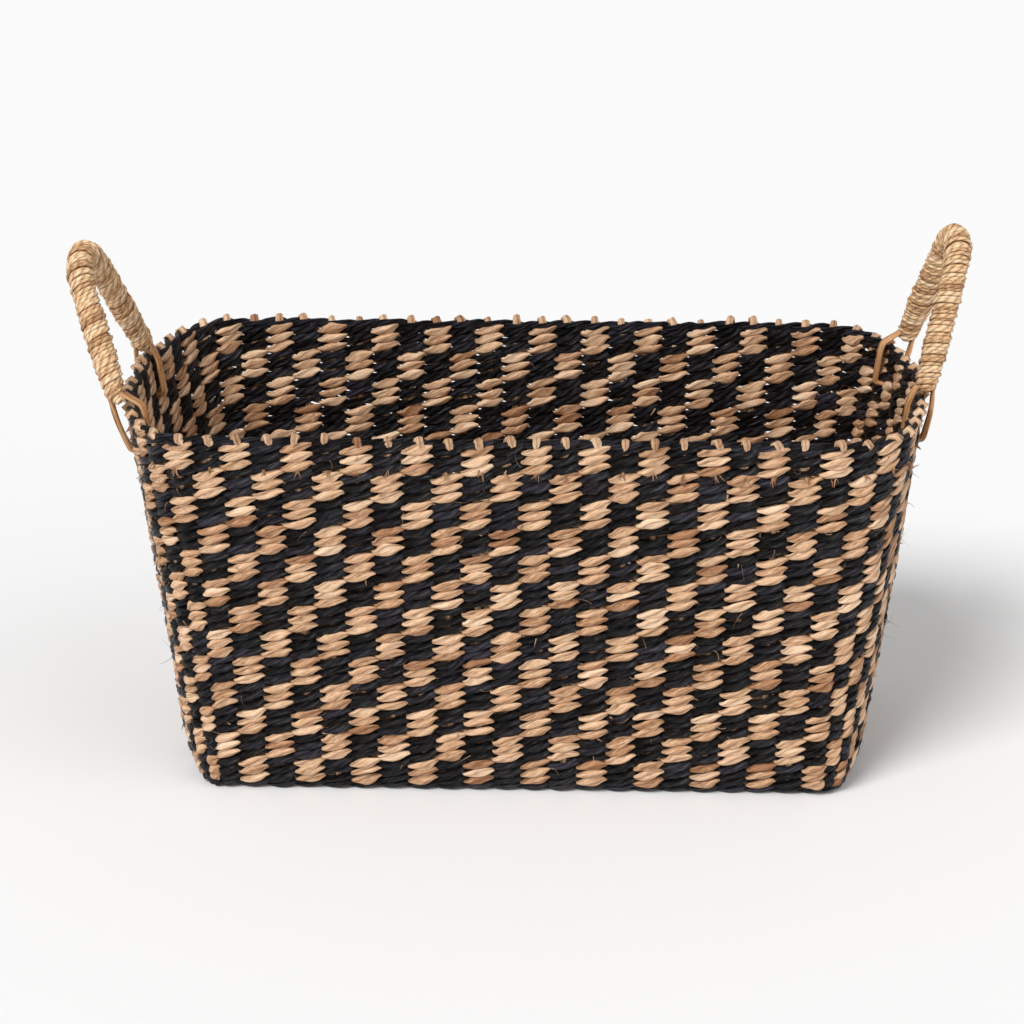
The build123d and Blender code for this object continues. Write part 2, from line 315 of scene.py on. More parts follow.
def tube(centres, side, half_side, half_up, tone, closed,
         sides=STRAND_SIDES, lobes=3, lobe=0.09, twist=0.0):
    """Lobed, flattened tube round a path. side is the direction of its first half-width at each point.
    Open tubes end in a point at each end. Returns points, quads, UVs and tones."""
    count = len(centres)
    if closed:
        ahead, behind = np.roll(centres, -1, 0), np.roll(centres, 1, 0)
    else:
        padded = np.vstack([2 * centres[0] - centres[1], centres, 2 * centres[-1] - centres[-2]])
        ahead, behind = padded[2:], padded[:-2]
    along = ahead - behind
    along /= np.linalg.norm(along, axis=1, keepdims=True)
    first = side - along * np.sum(side * along, 1, keepdims=True)
    first /= np.linalg.norm(first, axis=1, keepdims=True)
    second = np.cross(along, first)
    steps = np.linalg.norm(np.diff(centres, axis=0, append=centres[:1]), axis=1)
    travel = np.concatenate([[0], np.cumsum(steps)])
    angle = np.arange(sides) * 2 * math.pi / sides
    swell = 1 + lobe * np.cos(lobes * angle[None, :] + twist * travel[:count, None])
    ring_first = np.cos(angle)[None, :] * swell * np.broadcast_to(half_side, count)[:, None]
    ring_second = np.sin(angle)[None, :] * swell * np.broadcast_to(half_up, count)[:, None]
    rings = centres[:, None, :] + first[:, None, :] * ring_first[..., None]
    rings = rings + second[:, None, :] * ring_second[..., None]
    points = rings.reshape(-1, 3)
    spans = count if closed else count - 1
    i, j = np.meshgrid(np.arange(spans), np.arange(sides), indexing="ij")
    i, j = i.ravel(), j.ravel()
    i2, j2 = (i + 1) % count, (j + 1) % sides
    quads = np.column_stack([i * sides + j, i2 * sides + j, i2 * sides + j2, i * sides + j2])
    u = travel[np.column_stack([i, i + 1, i + 1, i])] * UV_PER_METRE
    v = np.column_stack([j, j, j + 1, j + 1]) / sides
    uv = np.stack([u, v], -1).reshape(-1, 2)
    tones = np.repeat(np.broadcast_to(tone, count), sides)
    if not closed:
        reach = np.min(half_side)
        tips = np.array([centres[0] - along[0] * reach, centres[-1] + along[-1] * reach])
        points = np.vstack([points, tips])
        tones = np.append(tones, [tones[0], tones[-1]])
        for tip, base, order in ((count * sides, 0, 1), (count * sides + 1, (count - 1) * sides, -1)):
            for a in range(0, sides, 2):
                ring = [base + a, base + (a + 1) % sides, base + (a + 2) % sides]
                quads = np.vstack([quads, [tip, *ring[::order][::-1]]])
                end_u = travel[base // sides] * UV_PER_METRE
                uv = np.vstack([uv, [[end_u, a / sides]] * 4])
    return points, quads, uv, tones


# ---------------------------------------------------------------- materials

STREAK_SCALE = (0.9, 16.0)  # along a strand and round it
FINE_SCALE = (2.2, 70.0)
STREAK_SHARE = 0.78
FINE_SHARE = 0.22
TONE_OFFSET = 37.0  # how far apart the streaks of stitches with other tones are taken
TONE_SHIFT = 0.34
CREASE_WOBBLE = 1.6
CREASE_POWER = 0.45
# painted shade: the colour that the creases between the twisted leaves are darkened towards, and how
# strongly
PAINTED_CREASE_SHADE_COLOUR = (0.36, 0.27, 0.21)
PAINTED_CREASE_SHADE_SHARE = 0.9
ROUGHNESS_SPREAD = 0.18


def node(tree, kind, **values):
    """A shader node with its inputs or settings filled in."""
    made = tree.nodes.new(kind)
    for key, value in values.items():
        if key in made.inputs:
            made.inputs[key].default_value = value
        else:
            setattr(made, key, value)
    return made


def math_node(tree, operation, a, b=0.0):
    """Result of a sum on numbers or on other nodes' outputs."""
    made = tree.nodes.new("ShaderNodeMath")
    made.operation = operation
    for index, value in enumerate((a, b)):
        if isinstance(value, (int, float)):
            made.inputs[index].default_value = value
        else:
            tree.links.new(value, made.inputs[index])
    return made.outputs[0]


def ramp(tree, factor, stops):
    """Colour that goes through the given stops, each a place and a colour, as the factor rises."""
    made = tree.nodes.new("ShaderNodeValToRGB")
    elements = made.color_ramp.elements
    while len(elements) < len(stops):
        elements.new(0.5)
    for element, (place, colour) in zip(elements, stops):
        element.position = place
        element.color = (*colour, 1)
    tree.links.new(factor, made.inputs[0])
    return made.outputs[0]


def mix_colour(tree, factor, a, b, blend="MIX"):
    """Mix of two colours, each given as a value or as another node's output."""
    made = tree.nodes.new("ShaderNodeMix")
    made.data_type = "RGBA"
    made.blend_type = blend
    for socket, value in ((made.inputs[0], factor), (made.inputs[6], a), (made.inputs[7], b)):
        if isinstance(value, (int, float)):
            socket.default_value = value
        elif isinstance(value, tuple):
            socket.default_value = (*value, 1)
        else:
            tree.links.new(value, socket)
    return made.outputs[2]


def fibre_material(name, dark, body, light, roughness, lay, lobes=3, fibre_depth=0.5, crease_depth=0.5,
                   specular=0.35, tint=None, bump_depth=0.0010):
    """Dried grass fibre: streaks along the strand, partly fibre tone and partly painted shade and painted
    highlight, creases between its twisted leaves darkened with painted shade, tone per stitch.
    lay is how fast the leaves turn round the strand."""
    material = bpy.data.materials.new(name)
    material.use_nodes = True
    tree = material.node_tree
    shader = tree.nodes["Principled BSDF"]
    shader.inputs["Specular IOR Level"].default_value = specular
    uv = node(tree, "ShaderNodeUVMap", uv_map="strand")
    parts = node(tree, "ShaderNodeSeparateXYZ")
    tree.links.new(uv.outputs[0], parts.inputs[0])
    tone = node(tree, "ShaderNodeAttribute", attribute_name="tone")
    turned = math_node(tree, "MULTIPLY", parts.outputs[0], lay)
    around = math_node(tree, "ADD", parts.outputs[1], turned)
    offset = math_node(tree, "MULTIPLY", tone.outputs["Fac"], TONE_OFFSET)
    vector = node(tree, "ShaderNodeCombineXYZ")
    tree.links.new(math_node(tree, "MULTIPLY", parts.outputs[0], STREAK_SCALE[0]), vector.inputs[0])
    tree.links.new(math_node(tree, "MULTIPLY", around, STREAK_SCALE[1]), vector.inputs[1])
    tree.links.new(offset, vector.inputs[2])
    streak = node(tree, "ShaderNodeTexNoise", Scale=1.6, Detail=5.0, Roughness=0.62)
    tree.links.new(vector.outputs[0], streak.inputs["Vector"])
    fine_vector = node(tree, "ShaderNodeCombineXYZ")
    tree.links.new(math_node(tree, "MULTIPLY", parts.outputs[0], FINE_SCALE[0]), fine_vector.inputs[0])
    tree.links.new(math_node(tree, "MULTIPLY", around, FINE_SCALE[1]), fine_vector.inputs[1])
    tree.links.new(offset, fine_vector.inputs[2])
    fine = node(tree, "ShaderNodeTexNoise", Scale=1.0, Detail=3.0, Roughness=0.7)
    tree.links.new(fine_vector.outputs[0], fine.inputs["Vector"])
    phase = math_node(tree, "MULTIPLY", around, math.pi * lobes)
    wobble = math_node(tree, "MULTIPLY", streak.outputs["Fac"], CREASE_WOBBLE)
    crest = math_node(tree, "SINE", math_node(tree, "ADD", phase, wobble))
    crest = math_node(tree, "ABSOLUTE", crest)
    crest = math_node(tree, "POWER", crest, CREASE_POWER)
    level = math_node(tree, "ADD", math_node(tree, "MULTIPLY", streak.outputs["Fac"], STREAK_SHARE),
                      math_node(tree, "MULTIPLY", fine.outputs["Fac"], FINE_SHARE))
    shift = math_node(tree, "SUBTRACT", tone.outputs["Fac"], 0.5)
    shift = math_node(tree, "MULTIPLY", shift, TONE_SHIFT)
    level = math_node(tree, "ADD", level, shift)
    # Painted light in the ramp: its dark end is partly painted shade and its light end partly painted
    # highlight, over the fibres' own tone that differs at random
    colour = ramp(tree, level, [(0.33, dark), (0.49, body), (0.66, light)])
    if tint:
        patch = node(tree, "ShaderNodeTexNoise", Scale=0.9, Detail=2.0)
        tree.links.new(vector.outputs[0], patch.inputs["Vector"])
        mask = ramp(tree, patch.outputs["Fac"], [(0.56, (0, 0, 0)), (0.74, (1, 1, 1))])
        colour = mix_colour(tree, mask, colour, tint)
    # Painted shade: the colour is darkened in the creases between the leaves; the same creases also drive
    # the bump
    shade = mix_colour(tree, math_node(tree, "SUBTRACT", 1.0, crest), (1, 1, 1), PAINTED_CREASE_SHADE_COLOUR)
    colour = mix_colour(tree, PAINTED_CREASE_SHADE_SHARE, colour, shade, "MULTIPLY")
    tree.links.new(colour, shader.inputs["Base Color"])
    rough = math_node(tree, "MULTIPLY", fine.outputs["Fac"], ROUGHNESS_SPREAD)
    rough = math_node(tree, "ADD", roughness - ROUGHNESS_SPREAD / 2, rough)
    tree.links.new(rough, shader.inputs["Roughness"])
    height = math_node(tree, "ADD", math_node(tree, "MULTIPLY", crest, crease_depth),
                       math_node(tree, "MULTIPLY", level, fibre_depth))
    bump = node(tree, "ShaderNodeBump", Strength=1.0, Distance=bump_depth)
    tree.links.new(height, bump.inputs["Height"])
    tree.links.new(bump.outputs[0], shader.inputs["Normal"])
    return material


# Natural strands: the dark stop is partly painted shade and the light stop partly painted highlight, round
# the tan body colour
NATURAL = fibre_material(
    "natural_seagrass", (0.31, 0.13, 0.053), (0.70, 0.43, 0.248), (0.96, 0.70, 0.48),
    roughness=0.62, lay=0.10, tint=(0.54, 0.26, 0.115),
)
# Black strands: the bluish light stop is painted highlight, glossy flecks along the streaks over a
# near-black body
BLACK = fibre_material(
    "black_seagrass", (0.0008, 0.0005, 0.0005), (0.0024, 0.0019, 0.0025), (0.050, 0.048, 0.066),
    roughness=0.32, lay=0.16, lobes=5, fibre_depth=1.0, crease_depth=1.0, specular=0.24,
    tint=(0.020, 0.010, 0.006), bump_depth=0.0024,
)
STAKE = fibre_material(
    "stake_seagrass", (0.32, 0.14, 0.065), (0.66, 0.40, 0.23), (0.88, 0.62, 0.41),
    roughness=0.7, lay=0.10,
)
TUFT = fibre_material(
    "frayed_seagrass", (0.30, 0.12, 0.045), (0.58, 0.31, 0.15), (0.80, 0.52, 0.31),
    roughness=0.75, lay=0.10,
)
WRAP = fibre_material(
    "handle_cord", (0.30, 0.125, 0.045), (0.92, 0.585, 0.315), (1.0, 0.80, 0.53),
    roughness=0.62, lay=0.9, lobes=2,
)
CANE = fibre_material(
    "cane", (0.30, 0.10, 0.025), (0.74, 0.37, 0.15), (0.92, 0.60, 0.32),
    roughness=0.45, lay=0.05, lobes=2, specular=0.45,
)


# ---------------------------------------------------------------- the weave

def strand_row(z_row, row_index, phase, kind, seed):
    """One closed strand of one row: over one stake and behind the next, climbing across each stake that
    it passes in front of. phase 0 passes in front of the even stakes."""
    rng = np.random.default_rng(1000 * seed + 17 * row_index + phase)
    steps = STAKES * STITCH_STEPS
    place = (np.arange(steps) + 0.5) / STITCH_STEPS - 0.5  # in stakes; stake k is at k
    stake = np.floor(place + 0.5).astype(int)
    window = np.cos(math.pi * (place - stake)) ** 2
    stake %= STAKES
    random = {key: rng.normal(0, 1, STAKES)[stake] for key in ("tall", "push", "lift", "tilt", "slide")}
    angle = math.pi * (place + phase)
    climb = (np.sin(angle) - np.sin(3 * angle) / 9) / 1.11  # near to a zigzag
    turn = np.cos(angle)
    tilt = 1 + STITCH_TILT_SPREAD * random["tilt"] * window
    run = (place + 0.5) * PITCH + STITCH_SLIDE_SPREAD * random["slide"] * window
    z = z_row + kind["rise"] * climb * tilt + STITCH_LIFT_SPREAD * random["lift"] * window
    over = np.abs(turn) ** kind["stay"]
    front = np.sign(turn) * over * STRAND_DEPTH + STITCH_PUSH_SPREAD * random["push"] * window
    centres = wall(run, front, z)
    lens = np.abs(turn) ** kind["taper"]
    half_up = kind["tall_in_gap"] + (kind["tall"] - kind["tall_in_gap"]) * lens
    half_up = half_up * (1 + STITCH_TALL_SPREAD * random["tall"] * window)
    half_side = STRAND_THICK * (1 + GAP_SWELL - GAP_SWELL * over)
    stitch_tone = np.clip(rng.normal(0.5, STITCH_TONE_SPREAD, STAKES), 0, 1)
    row_tone = rng.normal(0, ROW_TONE_SPREAD)
    tone = np.clip(stitch_tone[stake] + row_tone, 0, 1)
    twist = rng.uniform(60, 150)
    return tube(centres, outward(run), half_side, half_up, tone, True,
                lobes=kind["lobes"], lobe=kind["lobe"], twist=twist)


def weave_course(index, node_name):
    """Three rows of one course, its natural and its black strands as two pieces."""
    colours = (
        ("natural", NATURAL_STRAND, NATURAL, "seagrass_weave"),
        ("black", BLACK_STRAND, BLACK, "black_seagrass"),
    )
    for colour, (name, kind, material, slot) in enumerate(colours):
        bundle = Bundle()
        for row in range(ROWS_PER_COURSE):
            number = index * ROWS_PER_COURSE + row
            z_row = FOOT_TOP + (number + 0.5) * ROW
            bundle.add(*strand_row(z_row, number, (index + colour) % 2, kind, 1 + colour))
        piece = bundle.build(f"{name}_strands_{index + 1:02d}", material)
        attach(piece, "basket")
        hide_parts(node_name)


def border(name, z_row, node_name, tall):
    """Border row of two black strands."""
    kind = {**BORDER_STRAND, "tall": tall, "tall_in_gap": BORDER_GAP_SHARE * tall}
    bundle = Bundle()
    for phase in (0, 1):
        bundle.add(*strand_row(z_row, 200, phase, kind, 5 + phase))
    piece = bundle.build(name, BLACK)
    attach(piece, "basket")
    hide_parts(node_name)


# ---------------------------------------------------------------- stakes, knobs and loose fibres

def smooth_path(points, count):
    """Evenly spread points along a curve through the given ones."""
    points = np.asarray(points, float)
    legs = np.linalg.norm(np.diff(points, axis=0), axis=1)
    knots = np.concatenate([[0], np.cumsum(legs)])
    padded = np.vstack([2 * points[0] - points[1], points, 2 * points[-1] - points[-2]])
    where = np.linspace(0, knots[-1], count)
    leg = np.clip(np.searchsorted(knots, where, side="right") - 1, 0, len(points) - 2)
    t = ((where - knots[leg]) / (knots[leg + 1] - knots[leg]))[:, None]
    p0, p1, p2, p3 = padded[leg], padded[leg + 1], padded[leg + 2], padded[leg + 3]
    square = (2 * p0 - 5 * p1 + 4 * p2 - p3) * t**2
    cube = (3 * p1 - p0 - 3 * p2 + p3) * t**3
    return 0.5 * (2 * p1 + (p2 - p0) * t + square + cube)


def stake_walls():
    """Stake numbers of each wall, by the side their outline faces."""
    run = (np.arange(STAKES) + 0.5) * PITCH
    _, out = outline_point(run)
    walls = {"front": [], "back": [], "left": [], "right": []}
    for stake, (x, y) in enumerate(out):
        if abs(x) > abs(y):
            walls["right" if x > 0 else "left"].append(stake)
        else:
            walls["back" if y > 0 else "front"].append(stake)
    return walls


def stake_rod(bundle, stake, rng):
    """Flat stake inside the weave, folded over the border row and tucked down its outer face."""
    run = (stake + 0.5) * PITCH
    lean = rng.normal(0.0008, 0.0012)
    fold = rng.uniform(0.9, 1.15)
    top = HEIGHT + rng.normal(0.0012, 0.0006)
    path = [(0.0, 0.0, z) for z in np.linspace(STAKE_FOOT, RIM_BASE - 0.006, 26)]
    path += [
        (0.1 * lean, 0.0, RIM_BASE),
        (0.3 * lean, 0.0002, top - 0.0014),
        (0.6 * lean, 0.0014 * fold, top + 0.0002),
        (lean, 0.0032 * fold, top),
        (1.3 * lean, 0.0042 * fold, top - 0.0010),
        (1.5 * lean, 0.0038 * fold, top - 0.0022),
        (1.6 * lean, 0.0022 * fold, top - 0.0030),
    ]
    path = smooth_path(path, STAKE_POINTS)
    runs = run + path[:, 0]
    centres = wall(runs, path[:, 1], path[:, 2])
    knob = np.clip((path[:, 2] - RIM_BASE) / KNOB_START, 0, 1)
    knob[-12:] = 1
    half_run = STAKE_WIDE + (KNOB_WIDE * rng.uniform(0.85, 1.15) - STAKE_WIDE) * knob
    half_run[-6:] *= np.linspace(1, 0.6, 6)
    half_deep = STAKE_THICK + (KNOB_THICK - STAKE_THICK) * knob
    _, out = outline_point(runs)
    across = np.column_stack([-out[:, 1], out[:, 0], np.zeros(len(out))])
    tone = np.clip(rng.normal(0.5, 0.2), 0, 1)
    bundle.add(*tube(centres, across, half_run, half_deep, tone, False,
                     sides=10, lobe=0.10, twist=90.0))


def fibre(bundle, start, heading, length, radius, curl, rng, tone):
    """Thin tapering fibre that starts at a point and curls as it goes."""
    heading = np.array(heading, float)
    heading /= np.linalg.norm(heading)
    bend = rng.normal(0, curl, 3)
    centres = [np.array(start, float)]
    for _ in range(FIBRE_POINTS - 1):
        heading = heading + bend / FIBRE_POINTS
        heading /= np.linalg.norm(heading)
        centres.append(centres[-1] + heading * length / (FIBRE_POINTS - 1))
    taper = radius * np.linspace(1, 0.3, FIBRE_POINTS)
    side = np.cross(heading, rng.normal(0, 1, 3))
    side = np.broadcast_to(side, (FIBRE_POINTS, 3))
    bundle.add(*tube(np.array(centres), side, taper, taper, tone, False, sides=4, lobe=0.0))


def loose_fibres(name, count, seed):
    """Stray fibres, cut ends and splices scattered over both faces of the walls."""
    rng = np.random.default_rng(seed)
    bundle = Bundle()
    for _ in range(count):
        run = rng.uniform(0, RIM_RUN)
        z = rng.uniform(FIBRE_LOWEST, RIM_BASE)
        face = rng.choice([1.0, 1.0, -1.0])
        start = wall([run], [face * FIBRE_ROOT], [z])[0]
        tangent, normal = wall_directions(run)
        heading = tangent * rng.normal(0, 1) + face * normal * rng.uniform(0.15, 0.7)
        heading = heading + np.array([0, 0, rng.normal(-0.2, 0.5)])
        thick = rng.random() < THICK_FIBRE_SHARE
        radius = rng.uniform(0.0004, 0.0008) if thick else rng.uniform(0.00012, 0.00026)
        length = rng.uniform(0.003, 0.006) if thick else rng.uniform(0.004, 0.013)
        fibre(bundle, start, heading, length, radius, 1.4, rng, rng.uniform(0.2, 0.9))
    piece = bundle.build(name, NATURAL)
    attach(piece, "basket")


def tufts(name, seed):
    """Frayed stake ends that come out under the top course, at most of the stakes."""
    rng = np.random.default_rng(seed)
    bundle = Bundle()
    level = WEAVE_TOP - ROWS_PER_COURSE * ROW
    for stake in range(STAKES):
        if stake % 2 == 0 and rng.random() < TUFT_MISSING_SHARE:
            continue
        run = (stake + 0.5) * PITCH + rng.normal(0, 0.0012)
        start = wall([run], [TUFT_ROOT], [level + rng.uniform(0.0, 0.003)])[0]
        tangent, normal = wall_directions(run)
        for _ in range(rng.integers(4, 8)):
            heading = normal * rng.uniform(0.3, 0.8) + tangent * rng.normal(0, 0.35)
            heading = heading + np.array([0, 0, -1.0])
            length = rng.uniform(0.0035, 0.0070)
            root = start + rng.normal(0, 0.0007, 3)
            radius = rng.uniform(0.0003, 0.0008)
            fibre(bundle, root, heading, length, radius, 0.7, rng, rng.uniform(0.2, 0.8))
    piece = bundle.build(name, TUFT)
    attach(piece, "basket")


for wall_name, stakes in stake_walls().items():
    stake_bundle = Bundle()
    stake_rng = np.random.default_rng(len(wall_name) * 7 + 1)
    for stake_number in stakes:
        stake_rod(stake_bundle, stake_number, stake_rng)
    stake_piece = stake_bundle.build(f"{wall_name}_stakes", STAKE)
    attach(stake_piece, "basket")
    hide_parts(f"stakes_{wall_name}")
tufts("frayed_stake_ends", 61)
loose_fibres("stray_fibres", 420, 62)


# ---------------------------------------------------------------- base mat

def base_reach(y):
    """Half length of the base at a distance from the middle line."""
    offset = mid_offset(FOOT_TOP)
    y = abs(y)
    if y <= (BOW_RADIUS + offset) * math.sin(BOW_ANGLE):
        return BOW_CENTRE + math.sqrt((BOW_RADIUS + offset) ** 2 - y**2)
    return CORNER_X + math.sqrt(max(offset**2 - (y - CORNER_Y) ** 2, 0))


def base_strand(y, row, number, middle, depth):
    """One strand along the base, over one cross stake and under the next."""
    rng = np.random.default_rng(5000 + 10 * row + number)
    reach = base_reach(y) - BASE_MARGIN
    x = np.linspace(-reach, reach, int(2 * reach / PITCH * BASE_STEPS))
    angle = math.pi * (x / PITCH + 0.5 + number + row)
    over = np.abs(np.cos(angle)) ** 0.8
    z = middle + np.sign(np.cos(angle)) * over * depth
    climb = BASE_RISE * np.sin(angle) + 0.0005 * rng.normal(0, 1)
    centres = np.column_stack([x, y + climb, z])
    half_up = 0.0014 + 0.0016 * over
    up = np.broadcast_to(np.array([0.0, 0.0, 1.0]), centres.shape)
    tone = np.clip(rng.normal(0.5, 0.15) + 0.1 * np.sin(angle / 3), 0, 1)
    return tube(centres, up, BASE_STRAND_THICK, half_up, tone, False, sides=8, lobe=0.10, twist=90.0)


def base_stakes(middle):
    """Cross stakes inside the base, in line with the stakes of the long walls."""
    bundle = Bundle()
    rng = np.random.default_rng(77)
    for stake in range(-12, 12):
        x = (stake + 0.5) * PITCH
        half = CORNER_Y + mid_offset(FOOT_TOP) - BASE_STAKE_MARGIN
        if abs(x) > CORNER_X:
            half = CORNER_Y
        if abs(x) > base_reach(half) - BASE_STAKE_MARGIN:
            continue
        y = np.linspace(-half, half, BASE_STAKE_POINTS)
        across = np.full(BASE_STAKE_POINTS, x) + rng.normal(0, 0.0004)
        centres = np.column_stack([across, y, np.full(BASE_STAKE_POINTS, middle)])
        side = np.broadcast_to(np.array([1.0, 0.0, 0.0]), centres.shape)
        bundle.add(*tube(centres, side, STAKE_WIDE, STAKE_THICK, 0.5, False, sides=8, twist=90.0))
    return bundle


def base_mat():
    """Twined base: rows along the length, each of two strands that pass over and under the cross stakes."""
    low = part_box("base_weave_lower")[0].z
    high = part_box("base_weave_upper")[1].z
    middle = (low + high) / 2
    depth = (high - low) / 2 - BASE_STRAND_THICK
    half_width = CORNER_Y + mid_offset(FOOT_TOP) - BASE_MARGIN
    rows = int(2 * half_width / ROW)
    for number in range(2):
        bundle = Bundle()
        for row in range(rows):
            y = -half_width + (row + 0.5) * 2 * half_width / rows
            bundle.add(*base_strand(y, row, number, middle, depth))
        piece = bundle.build(f"base_strands_{number + 1}", NATURAL)
        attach(piece, "basket")
        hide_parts("base_weave_lower", "base_weave_upper")
    piece = base_stakes(middle).build("base_cross_stakes", STAKE)
    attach(piece, "basket")
    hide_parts("base_stakes")


base_mat()


# ---------------------------------------------------------------- handles

def handle_frame(side):
    """Middle of the tilt axis, its direction, the outward direction and half the distance between
    the feet. side 1 is the right-hand handle; the left-hand one is the same handle turned half round."""
    pivot = HEIGHT + PIVOT_RISE
    run = RIM_RUN / 4 + np.array([LOW_FOOT_GAP, HIGH_FOOT_GAP]) * PITCH
    point, out = outline_point(run)
    feet = point + out * (FOOT_OFFSET + SLOPE * pivot)
    feet[:, 0] += FOOT_SHIFTS
    feet = np.column_stack([feet, [pivot, pivot]]) * np.array([side, side, 1])
    along = (feet[1] - feet[0]) / np.linalg.norm(feet[1] - feet[0])
    return feet.mean(0), along, np.cross(along, [0, 0, 1]), np.linalg.norm(feet[1] - feet[0]) / 2


def grip_line(reach, height, count):
    """Points (along, up) of the handle's centre line from foot to foot, with a rounded top and straight
    legs, then each point's place along the line and the line's length."""
    centre_z = height - GRIP_BEND
    span = math.hypot(reach, centre_z)
    turn = math.acos(GRIP_BEND / span) - math.atan2(centre_z, reach)
    touch = np.array([GRIP_BEND * math.cos(turn), centre_z + GRIP_BEND * math.sin(turn)])
    foot = np.array([reach, 0.0])
    leg = np.linalg.norm(touch - foot)
    down = (foot - touch) / leg
    arc = GRIP_BEND * (math.pi - 2 * turn)
    total = 2 * (leg + FOOT_TAIL) + arc
    where = np.linspace(0, total, count)
    points = np.zeros((count, 2))
    first = where < leg + FOOT_TAIL
    points[first] = touch + down * (leg + FOOT_TAIL - where[first])[:, None]
    last = where > total - leg - FOOT_TAIL
    mirror = np.array([-1.0, 1.0])
    points[last] = (touch + down * (where[last] - (total - leg - FOOT_TAIL))[:, None]) * mirror
    middle = ~first & ~last
    angle = turn + (where[middle] - leg - FOOT_TAIL) / GRIP_BEND
    points[middle] = np.column_stack([GRIP_BEND * np.cos(angle), centre_z + GRIP_BEND * np.sin(angle)])
    return points, where, total


def cross_section_radius(where, total):
    """Radius of the wrapped handle: it tapers to the feet and closes round the tilt axis."""
    to_end = np.minimum(where, total - where)
    taper = np.clip(1 - (to_end - FOOT_TAIL) / FOOT_TAPER, 0, 1)
    full = GRIP_RADIUS + (FOOT_RADIUS - GRIP_RADIUS) * taper**1.5
    below = np.clip((FOOT_TAIL - to_end) / (1.04 * FOOT_TAIL), 0, 0.95)
    return full * np.sqrt(1 - below**2)


def make_handle(name, side):
    """Cords wound closely, side by side, round a bent cane."""
    middle, along, out, reach = handle_frame(side)
    up = np.array([0, 0, math.cos(HANDLE_LEAN[side])]) + out * math.sin(HANDLE_LEAN[side])
    front = np.cross(along, up)
    rng = np.random.default_rng(90 + side)
    _, _, total = grip_line(reach, HANDLE_HEIGHT[side], 4)
    turns = total / (CORDS * CORD_PITCH)
    count = int(turns * CORD_STEPS)
    line, where, total = grip_line(reach, HANDLE_HEIGHT[side], count)
    spine = middle + line[:, :1] * along + line[:, 1:] * up
    heading = np.gradient(spine, axis=0)
    heading /= np.linalg.norm(heading, axis=1, keepdims=True)
    first = np.broadcast_to(front, spine.shape)
    second = np.cross(heading, first)
    radius = cross_section_radius(where, total)
    lumps = 1 + 0.030 * np.sin(where * 190 + rng.uniform(0, 6))
    lumps = lumps + 0.02 * np.sin(where * 71 + rng.uniform(0, 6))
    bundle = Bundle()
    for cord in range(CORDS):
        wobble = 0.25 * np.sin(where * 330 + cord * 2.1 + rng.uniform(0, 6)) + 0.12 * rng.normal(0, 1)
        angle = 2 * math.pi * turns * where / total + 2 * math.pi * cord / CORDS + wobble
        loft = radius * lumps - CORD_THICK + CORD_LOFT[cord] * (1 + 0.6 * np.sin(where * 143 + 2 * cord))
        ray = np.cos(angle)[:, None] * first + np.sin(angle)[:, None] * second
        centres = spine + ray * np.maximum(loft, 0.0008)[:, None]
        tone = 0.5 + 0.22 * np.sin(where * 260 + cord) + 0.15 * np.sin(where * 97 + 2 * cord)
        wide = CORD_WIDE * (1 + 0.14 * np.sin(where * 410 + 3 * cord))
        bundle.add(*tube(centres, ray, CORD_THICK, wide, np.clip(tone, 0, 1), False,
                         sides=7, lobes=2, lobe=0.10, twist=700.0))
    sparse = slice(0, count, CORE_STEP)
    inner = np.maximum(radius * lumps - 1.3 * CORD_THICK, 0.0005)
    bundle.add(*tube(spine[sparse], first[sparse], inner[sparse], inner[sparse], 0.15, False,
                     sides=16, lobe=0.0))
    piece = bundle.build(f"{name}_handle_cord", WRAP)
    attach(piece, f"{name}_handle")
    nodes = ("handle_core", "handle_grip_wrap", "handle_front_collar", "handle_rear_collar")
    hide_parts(*(f"{name}_{node_name}" for node_name in nodes))


def lashing_loop(plane, drop, gap, shift):
    """Points of one closed cane: round the tilt axis inside the handle's foot, down both faces of the
    wall and through it. The wall's middle lies a shift inside the axis."""
    origin, outward_way, up_way = plane
    turn = LASHING_CORNER
    near = LASHING_GAP_AT_AXIS
    rim = PIVOT_RISE
    low = turn - drop
    inner = -shift - gap
    outer = gap - shift
    corners = [(near * math.cos(a), near * math.sin(a)) for a in np.linspace(0, math.pi, 7)]
    corners += [
        (0.5 * (inner - near), -0.45 * rim),
        (inner + 0.0012, -rim + 0.0020),
        (inner, -rim - 0.004),
        (inner, 0.6 * low),
        (inner, low),
        (inner + 0.3 * turn, -drop + 0.3 * turn),
        (inner + turn, -drop),
        (outer - turn, -drop),
        (outer - 0.3 * turn, -drop + 0.3 * turn),
        (outer, low),
    ]
    for share in (0.8, 0.6, 0.4, 0.2):
        bulge = LASHING_BULGE * math.sin(math.pi * share)
        corners.append((near + (outer - near) * share + bulge, low * share))
    corners.append(corners[0])
    flat = smooth_path(corners, CANE_POINTS + 1)[:-1]
    return origin + flat[:, :1] * outward_way + flat[:, 1:2] * up_way


